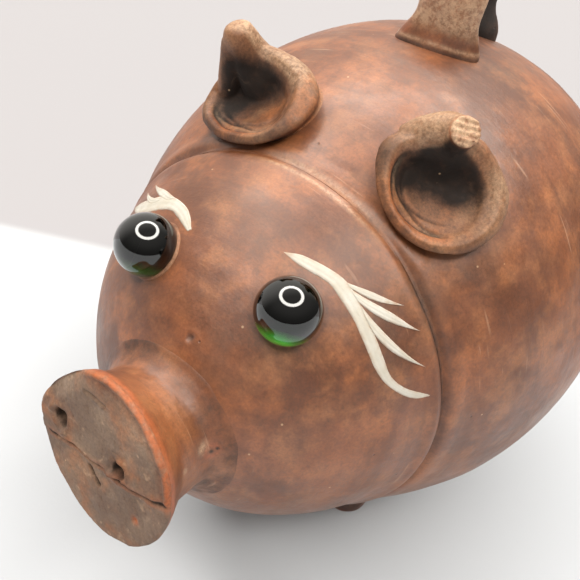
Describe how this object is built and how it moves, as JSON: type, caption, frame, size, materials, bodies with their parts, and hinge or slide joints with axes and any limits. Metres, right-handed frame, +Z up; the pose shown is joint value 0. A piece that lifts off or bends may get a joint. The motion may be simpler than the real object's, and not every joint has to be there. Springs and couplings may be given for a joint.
{
  "type": "piggy bank",
  "caption": "Hand-thrown burnished clay pig bank with green glass marble eyes, slip-painted brows, cupped ears, flared snout, stub feet, a strap loop and a coin slot on the back.",
  "frame": {"origin": "middle of the bounding box in X and Y, at its lowest point, where the four soles meet the ground", "axes": "+Z up, -Y out of the pig's snout and +Y towards its tail, +X to the pig's left"},
  "size_m": [0.1552, 0.2313, 0.194],
  "materials": {
    "burnished_clay": "satin",
    "smoked_clay": "satin",
    "bare_clay": "matte",
    "raw_clay": "matte",
    "green_glass": "polished",
    "white_slip": "matte"
  },
  "bodies": {
    "root": {"body_shell": "burnished_clay", "head_shell": "burnished_clay", "neck_luting_coil": "raw_clay", "snout_collar": "burnished_clay", "snout_disc": "bare_clay", "ear_left": "smoked_clay", "ear_right": "smoked_clay", "eye_marble_left": "green_glass", "eye_marble_right": "green_glass", "eye_lip_left": "raw_clay", "eye_lip_right": "raw_clay", "brow_left": "white_slip", "brow_right": "white_slip", "back_loop": "burnished_clay", "tail_curl": "burnished_clay", "foot_front_left": "burnished_clay", "foot_front_right": "burnished_clay", "foot_rear_left": "burnished_clay", "foot_rear_right": "burnished_clay"}
  },
  "joints": []
}
